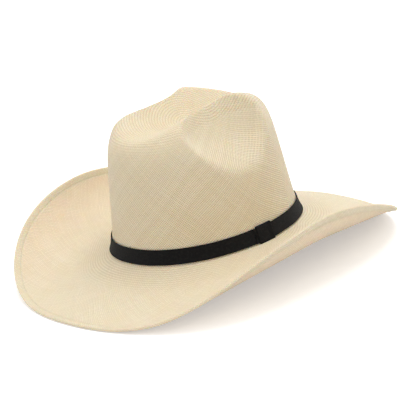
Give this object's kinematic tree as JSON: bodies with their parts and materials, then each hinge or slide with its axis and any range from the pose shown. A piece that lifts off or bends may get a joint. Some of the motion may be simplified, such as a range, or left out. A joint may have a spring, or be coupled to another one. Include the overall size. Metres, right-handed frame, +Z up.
{
  "type": "cowboy hat",
  "caption": "Western straw hat with a creased crown, side dents, a brim curled up at the sides, a folded hem, a dark ribbon with a keeper, and a leather sweatband.",
  "frame": {"origin": "middle of the hat's footprint, on the surface that the brim's front and back rest on", "axes": "+X towards the wearer's left, -Y towards the front, +Z up through the crown"},
  "size_m": [0.3546, 0.3814, 0.1664],
  "materials": {
    "straw": "woven natural straw, lightly lacquered",
    "wire": "drawn spring wire",
    "wire_sleeve": "crimped",
    "straw_thread": "matte",
    "ribbon": "matte ribbed ribbon",
    "black_thread": "matte",
    "leather": "smooth tan",
    "reed": "matte",
    "tape": "plain weave",
    "tan_thread": "matte",
    "bow_ribbon": "satin"
  },
  "bodies": {
    "root": {"hat_body": "straw", "brim_wire": "wire", "brim_wire_sleeve": "wire_sleeve", "hem_stitching": "straw_thread", "ribbon_band": "ribbon", "ribbon_keeper": "ribbon", "band_tacks": "black_thread", "sweatband": "leather", "sweatband_reed": "reed", "reed_tape": "tape", "tape_stitching": "tan_thread", "seam_stitching": "straw_thread", "sweatband_back_tape": "tape", "sweatband_bow": "bow_ribbon"}
  },
  "joints": []
}
